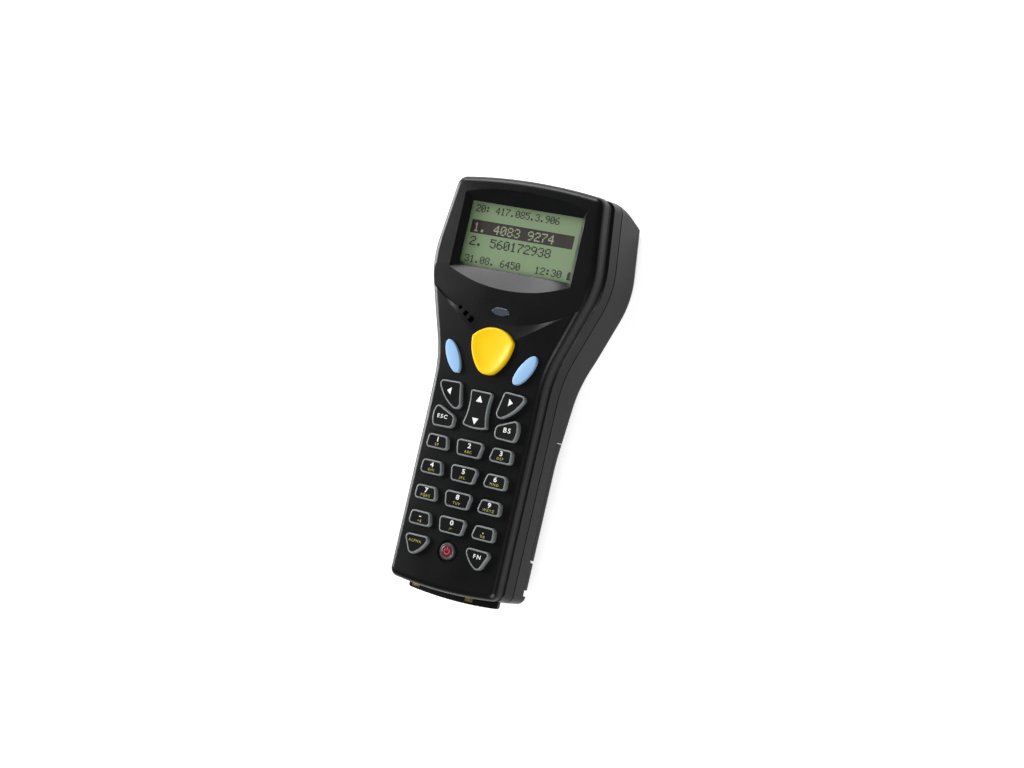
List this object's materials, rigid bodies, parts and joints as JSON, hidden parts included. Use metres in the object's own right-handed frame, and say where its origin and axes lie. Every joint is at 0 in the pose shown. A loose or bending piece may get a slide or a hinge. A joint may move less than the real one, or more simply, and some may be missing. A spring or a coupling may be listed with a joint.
{
  "type": "portable barcode data terminal",
  "caption": "Handheld data terminal lying on its back: waisted grip with domed keys, shield trigger, recessed liquid crystal display and slanted scan end.",
  "frame": {"origin": "centre of the bounding box in X and Y, at the level of the flat back of the head, on which the terminal lies", "axes": "+X to the user's right when reading the keypad, +Y from the grip's dock end towards the scan end, +Z out of the keypad face"},
  "size_m": [0.077, 0.169, 0.036],
  "materials": {
    "housing_plastic": "fine moulded grain, satin",
    "latch_plastic": "fine moulded grain",
    "tongue_plastic": "smooth moulded",
    "seal_rubber": "soft matt",
    "display_window": "clear, polished",
    "display_glass": "olive green liquid crystal panel",
    "tray_plastic": "white, moulded",
    "light_guide": "smoky grey-blue, translucent",
    "beeper_case": "moulded",
    "mat_silicone": "grey silicone",
    "circuit_board": "green solder mask",
    "module_can": "tinned sheet",
    "cell_steel": "bright",
    "engine_body": "die cast, dark finish",
    "scan_filter": "deep red filter, polished",
    "gold_plate": "gold plated, polished",
    "insert_brass": "knurled",
    "screw_steel": "dark plated",
    "pack_plastic": "smooth wrap",
    "key_lacquer": "black lacquered top over a grey cap",
    "side_key_plastic": "pale blue, satin",
    "power_key_plastic": "red, translucent",
    "trigger_plastic": "yellow, satin gloss"
  },
  "bodies": {
    "housing": {"front_shell": "housing_plastic", "rear_shell": "housing_plastic", "seam_gasket": "seal_rubber", "display_lens": "display_window", "lcd_panel": "display_glass", "backlight_tray": "tray_plastic", "led_lens": "light_guide", "beeper": "beeper_case", "keypad_mat": "mat_silicone", "main_board": "circuit_board", "radio_module": "module_can", "backup_cell": "cell_steel", "scan_engine": "engine_body", "scan_window": "scan_filter", "scan_window_seal": "seal_rubber", "battery_contacts": "gold_plate", "dock_tongue": "tongue_plastic", "dock_contacts": "gold_plate", "threaded_inserts": "insert_brass", "housing_screws": "screw_steel"},
    "battery": {"battery_cover": "housing_plastic", "battery_pack": "pack_plastic", "battery_terminals": "gold_plate"},
    "latch": {"battery_latch": "latch_plastic"},
    "key_1": {"key_1": "key_lacquer"},
    "key_2": {"key_2": "key_lacquer"},
    "key_3": {"key_3": "key_lacquer"},
    "key_4": {"key_4": "key_lacquer"},
    "key_5": {"key_5": "key_lacquer"},
    "key_6": {"key_6": "key_lacquer"},
    "key_7": {"key_7": "key_lacquer"},
    "key_8": {"key_8": "key_lacquer"},
    "key_9": {"key_9": "key_lacquer"},
    "key_minus": {"key_minus": "key_lacquer"},
    "key_0": {"key_0": "key_lacquer"},
    "key_dot": {"key_dot": "key_lacquer"},
    "key_left": {"key_left": "key_lacquer"},
    "key_right": {"key_right": "key_lacquer"},
    "key_esc": {"key_esc": "key_lacquer"},
    "key_bs": {"key_bs": "key_lacquer"},
    "key_alpha": {"key_alpha": "key_lacquer"},
    "key_fn": {"key_fn": "key_lacquer"},
    "side_key_left": {"side_key_left": "side_key_plastic"},
    "side_key_right": {"side_key_right": "side_key_plastic"},
    "power_key": {"power_key": "power_key_plastic"},
    "trigger_key": {"trigger_key": "trigger_plastic"},
    "key_rocker": {"key_rocker": "key_lacquer"}
  },
  "joints": [
    {"name": "key_1_press", "type": "slide", "parent": "housing", "child": "key_1", "axis": [0, 0, -1], "range_m": [0, 0.0008], "stiffness_N_per_m": 300},
    {"name": "key_2_press", "type": "slide", "parent": "housing", "child": "key_2", "axis": [0, 0, -1], "range_m": [0, 0.0008], "stiffness_N_per_m": 300},
    {"name": "key_3_press", "type": "slide", "parent": "housing", "child": "key_3", "axis": [0, 0, -1], "range_m": [0, 0.0008], "stiffness_N_per_m": 300},
    {"name": "key_4_press", "type": "slide", "parent": "housing", "child": "key_4", "axis": [0, 0, -1], "range_m": [0, 0.0008], "stiffness_N_per_m": 300},
    {"name": "key_5_press", "type": "slide", "parent": "housing", "child": "key_5", "axis": [0, 0, -1], "range_m": [0, 0.0008], "stiffness_N_per_m": 300},
    {"name": "key_6_press", "type": "slide", "parent": "housing", "child": "key_6", "axis": [0, 0, -1], "range_m": [0, 0.0008], "stiffness_N_per_m": 300},
    {"name": "key_7_press", "type": "slide", "parent": "housing", "child": "key_7", "axis": [0, 0, -1], "range_m": [0, 0.0008], "stiffness_N_per_m": 300},
    {"name": "key_8_press", "type": "slide", "parent": "housing", "child": "key_8", "axis": [0, 0, -1], "range_m": [0, 0.0008], "stiffness_N_per_m": 300},
    {"name": "key_9_press", "type": "slide", "parent": "housing", "child": "key_9", "axis": [0, 0, -1], "range_m": [0, 0.0008], "stiffness_N_per_m": 300},
    {"name": "key_minus_press", "type": "slide", "parent": "housing", "child": "key_minus", "axis": [0, 0, -1], "range_m": [0, 0.0008], "stiffness_N_per_m": 300},
    {"name": "key_0_press", "type": "slide", "parent": "housing", "child": "key_0", "axis": [0, 0, -1], "range_m": [0, 0.0008], "stiffness_N_per_m": 300},
    {"name": "key_dot_press", "type": "slide", "parent": "housing", "child": "key_dot", "axis": [0, 0, -1], "range_m": [0, 0.0008], "stiffness_N_per_m": 300},
    {"name": "key_left_press", "type": "slide", "parent": "housing", "child": "key_left", "axis": [0, 0, -1], "range_m": [0, 0.0008], "stiffness_N_per_m": 300},
    {"name": "key_right_press", "type": "slide", "parent": "housing", "child": "key_right", "axis": [0, 0, -1], "range_m": [0, 0.0008], "stiffness_N_per_m": 300},
    {"name": "key_esc_press", "type": "slide", "parent": "housing", "child": "key_esc", "axis": [0, 0, -1], "range_m": [0, 0.0008], "stiffness_N_per_m": 300},
    {"name": "key_bs_press", "type": "slide", "parent": "housing", "child": "key_bs", "axis": [0, 0, -1], "range_m": [0, 0.0008], "stiffness_N_per_m": 300},
    {"name": "key_alpha_press", "type": "slide", "parent": "housing", "child": "key_alpha", "axis": [0, 0, -1], "range_m": [0, 0.0008], "stiffness_N_per_m": 300},
    {"name": "key_fn_press", "type": "slide", "parent": "housing", "child": "key_fn", "axis": [0, 0, -1], "range_m": [0, 0.0008], "stiffness_N_per_m": 300},
    {"name": "side_key_left_press", "type": "slide", "parent": "housing", "child": "side_key_left", "axis": [0, 0, -1], "range_m": [0, 0.0008], "stiffness_N_per_m": 300},
    {"name": "side_key_right_press", "type": "slide", "parent": "housing", "child": "side_key_right", "axis": [0, 0, -1], "range_m": [0, 0.0008], "stiffness_N_per_m": 300},
    {"name": "power_key_press", "type": "slide", "parent": "housing", "child": "power_key", "axis": [0, 0, -1], "range_m": [0, 0.0008], "stiffness_N_per_m": 300},
    {"name": "trigger_press", "type": "slide", "parent": "housing", "child": "trigger_key", "axis": [0, 0, -1], "range_m": [0, 0.001], "stiffness_N_per_m": 300},
    {"name": "rocker_tilt", "type": "hinge", "parent": "housing", "child": "key_rocker", "pos_m": [0, -0.0085, 0.0322], "axis": [1, 0, 0], "range_deg": [-3.5, 3.5], "stiffness_Nm_per_rad": 0.05},
    {"name": "battery_cover_hinge", "type": "hinge", "parent": "housing", "child": "battery", "pos_m": [0, -0.01432, 0.00572], "axis": [1, 0, 0], "range_deg": [0, 25]},
    {"name": "latch_slide", "type": "slide", "parent": "housing", "child": "latch", "axis": [0, -1, 0], "range_m": [0, 0.002], "stiffness_N_per_m": 300, "springref_m": -0.0002}
  ]
}
